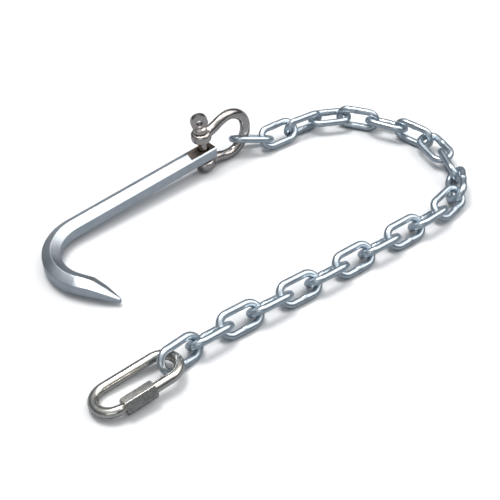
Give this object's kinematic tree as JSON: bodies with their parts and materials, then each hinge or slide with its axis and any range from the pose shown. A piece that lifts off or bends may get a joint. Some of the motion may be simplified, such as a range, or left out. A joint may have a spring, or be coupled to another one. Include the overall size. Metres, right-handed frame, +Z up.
{
  "type": "boat anchor",
  "caption": "Small boat anchor: a hook bent from hexagonal bar, pinned in a bow shackle, on a length of welded link chain that ends in a quick link with a screw gate.",
  "frame": {"origin": "on the ground plane, under the middle of the whole assembly's bounding box", "axes": "+Z up from the ground; +X to the side where the chain turns back; +Y from the quick link's end towards the shackle and the first chain links; the hook's shank runs about 42 degrees from +X towards +Y"},
  "size_m": [0.304, 0.3156, 0.0529],
  "materials": {
    "hook_zinc": "bright zinc plate on forged bar, milled tang",
    "shackle_steel": "polished stainless steel, warm grey",
    "chain_zinc": "bluish zinc plate, smooth, worn at the crowns",
    "quick_link_steel": "stainless steel, satin"
  },
  "bodies": {
    "hook": {"hook": "hook_zinc"},
    "shackle_bow": {"shackle_bow": "shackle_steel"},
    "shackle_pin": {"shackle_pin": "shackle_steel"},
    "chain_link_01": {"chain_link_01": "chain_zinc"},
    "chain_link_02": {"chain_link_02": "chain_zinc"},
    "chain_link_03": {"chain_link_03": "chain_zinc"},
    "chain_link_04": {"chain_link_04": "chain_zinc"},
    "chain_link_05": {"chain_link_05": "chain_zinc"},
    "chain_link_06": {"chain_link_06": "chain_zinc"},
    "chain_link_07": {"chain_link_07": "chain_zinc"},
    "chain_link_08": {"chain_link_08": "chain_zinc"},
    "chain_link_09": {"chain_link_09": "chain_zinc"},
    "chain_link_10": {"chain_link_10": "chain_zinc"},
    "chain_link_11": {"chain_link_11": "chain_zinc"},
    "chain_link_12": {"chain_link_12": "chain_zinc"},
    "chain_link_13": {"chain_link_13": "chain_zinc"},
    "chain_link_14": {"chain_link_14": "chain_zinc"},
    "chain_link_15": {"chain_link_15": "chain_zinc"},
    "chain_link_16": {"chain_link_16": "chain_zinc"},
    "chain_link_17": {"chain_link_17": "chain_zinc"},
    "chain_link_18": {"chain_link_18": "chain_zinc"},
    "chain_link_19": {"chain_link_19": "chain_zinc"},
    "chain_link_20": {"chain_link_20": "chain_zinc"},
    "chain_link_21": {"chain_link_21": "chain_zinc"},
    "quick_link_body": {"quick_link_body": "quick_link_steel"},
    "quick_link_nut": {"quick_link_nut": "quick_link_steel"}
  },
  "joints": [
    {"name": "shackle_swing", "type": "hinge", "parent": "hook", "child": "shackle_bow", "pos_m": [-0.04471, 0.08972, 0.01964], "axis": [-0.0841, -0.0757, 0.9936], "range_deg": [-25, 120]},
    {"name": "shackle_pin_draw", "type": "slide", "parent": "shackle_bow", "child": "shackle_pin", "axis": [-0.0841, -0.0757, 0.9936], "range_m": [0, 0.045]},
    {"name": "chain_link_01_swing", "type": "hinge", "parent": "shackle_bow", "child": "chain_link_01", "pos_m": [-0.01542, 0.11434, 0.01189], "axis": [0.0152, 0.51, 0.8601], "range_deg": [-20, 20]},
    {"name": "chain_link_02_swing", "type": "hinge", "parent": "chain_link_01", "child": "chain_link_02", "pos_m": [0.00685, 0.11819, 0.00922], "axis": [0.391, -0.5893, 0.707], "range_deg": [-10, 60]},
    {"name": "chain_link_03_swing", "type": "hinge", "parent": "chain_link_02", "child": "chain_link_03", "pos_m": [0.02592, 0.13308, 0.01013], "axis": [0.5229, -0.8121, -0.2588], "range_deg": [-60, 60]},
    {"name": "chain_link_04_swing", "type": "hinge", "parent": "chain_link_03", "child": "chain_link_04", "pos_m": [0.04619, 0.14592, 0.01032], "axis": [-0.0012, -0.0002, 1], "range_deg": [-10, 60]},
    {"name": "chain_link_05_swing", "type": "hinge", "parent": "chain_link_04", "child": "chain_link_05", "pos_m": [0.07011, 0.14928, 0.01032], "axis": [-0.2952, -0.9554, 0], "range_deg": [-60, 60]},
    {"name": "chain_link_06_swing", "type": "hinge", "parent": "chain_link_05", "child": "chain_link_06", "pos_m": [0.09276, 0.14061, 0.01044], "axis": [-0.1789, -0.383, -0.9063], "range_deg": [-60, 10]},
    {"name": "chain_link_07_swing", "type": "hinge", "parent": "chain_link_06", "child": "chain_link_07", "pos_m": [0.11405, 0.12948, 0.01072], "axis": [-0.6216, -0.7833, 0], "range_deg": [-25, 60]},
    {"name": "chain_link_08_swing", "type": "hinge", "parent": "chain_link_07", "child": "chain_link_08", "pos_m": [0.13245, 0.114, 0.0103], "axis": [-0.1422, -0.1041, 0.9843], "range_deg": [-10, 45]},
    {"name": "chain_link_09_swing", "type": "hinge", "parent": "chain_link_08", "child": "chain_link_09", "pos_m": [0.14187, 0.09173, 0.00951], "axis": [-0.8465, -0.183, -0.5], "range_deg": [-60, 50]},
    {"name": "chain_link_10_swing", "type": "hinge", "parent": "chain_link_09", "child": "chain_link_10", "pos_m": [0.14633, 0.06809, 0.00932], "axis": [-0.8153, 0.0794, 0.5736], "range_deg": [-60, 60]},
    {"name": "chain_link_11_swing", "type": "hinge", "parent": "chain_link_10", "child": "chain_link_11", "pos_m": [0.14279, 0.04424, 0.0091], "axis": [0.4287, -0.3816, 0.8189], "range_deg": [-25, 20]},
    {"name": "chain_link_12_swing", "type": "hinge", "parent": "chain_link_11", "child": "chain_link_12", "pos_m": [0.12579, 0.0268, 0.0085], "axis": [-0.4492, 0.5132, 0.7313], "range_deg": [-60, 60]},
    {"name": "chain_link_13_swing", "type": "hinge", "parent": "chain_link_12", "child": "chain_link_13", "pos_m": [0.1072, 0.01159, 0.00831], "axis": [0.4148, -0.5413, 0.7314], "range_deg": [-60, 60]},
    {"name": "chain_link_14_swing", "type": "hinge", "parent": "chain_link_13", "child": "chain_link_14", "pos_m": [0.08806, -0.0029, 0.0083], "axis": [0.4105, -0.5446, -0.7314], "range_deg": [-60, 60]},
    {"name": "chain_link_15_swing", "type": "hinge", "parent": "chain_link_14", "child": "chain_link_15", "pos_m": [0.06888, -0.01733, 0.00832], "axis": [-0.4152, 0.5411, -0.7314], "range_deg": [-60, 60]},
    {"name": "chain_link_16_swing", "type": "hinge", "parent": "chain_link_15", "child": "chain_link_16", "pos_m": [0.04986, -0.03196, 0.00832], "axis": [0.4113, -0.544, -0.7314], "range_deg": [-60, 60]},
    {"name": "chain_link_17_swing", "type": "hinge", "parent": "chain_link_16", "child": "chain_link_17", "pos_m": [0.0307, -0.04642, 0.00832], "axis": [0.3979, -0.5539, 0.7314], "range_deg": [-60, 60]},
    {"name": "chain_link_18_swing", "type": "hinge", "parent": "chain_link_17", "child": "chain_link_18", "pos_m": [0.01117, -0.06037, 0.0083], "axis": [-0.3984, 0.5535, 0.7314], "range_deg": [-60, 60]},
    {"name": "chain_link_19_swing", "type": "hinge", "parent": "chain_link_18", "child": "chain_link_19", "pos_m": [-0.00829, -0.07441, 0.00833], "axis": [0.4058, -0.5481, 0.7314], "range_deg": [-60, 60]},
    {"name": "chain_link_20_swing", "type": "hinge", "parent": "chain_link_19", "child": "chain_link_20", "pos_m": [-0.0276, -0.08867, 0.00839], "axis": [0.4189, -0.5383, -0.7313], "range_deg": [-60, 60]},
    {"name": "chain_link_21_swing", "type": "hinge", "parent": "chain_link_20", "child": "chain_link_21", "pos_m": [-0.04628, -0.10374, 0.00869], "axis": [-0.6201, 0.5789, -0.5295], "range_deg": [-60, 60]},
    {"name": "quick_link_swing", "type": "hinge", "parent": "chain_link_21", "child": "quick_link_body", "pos_m": [-0.06279, -0.12114, 0.00973], "axis": [-0.153, 0.0584, 0.9865], "range_deg": [-35, 35]},
    {"name": "gate_nut_slide", "type": "slide", "parent": "quick_link_body", "child": "quick_link_nut", "axis": [0.7924, 0.6037, 0.0872], "range_m": [0, 0.0113]}
  ]
}
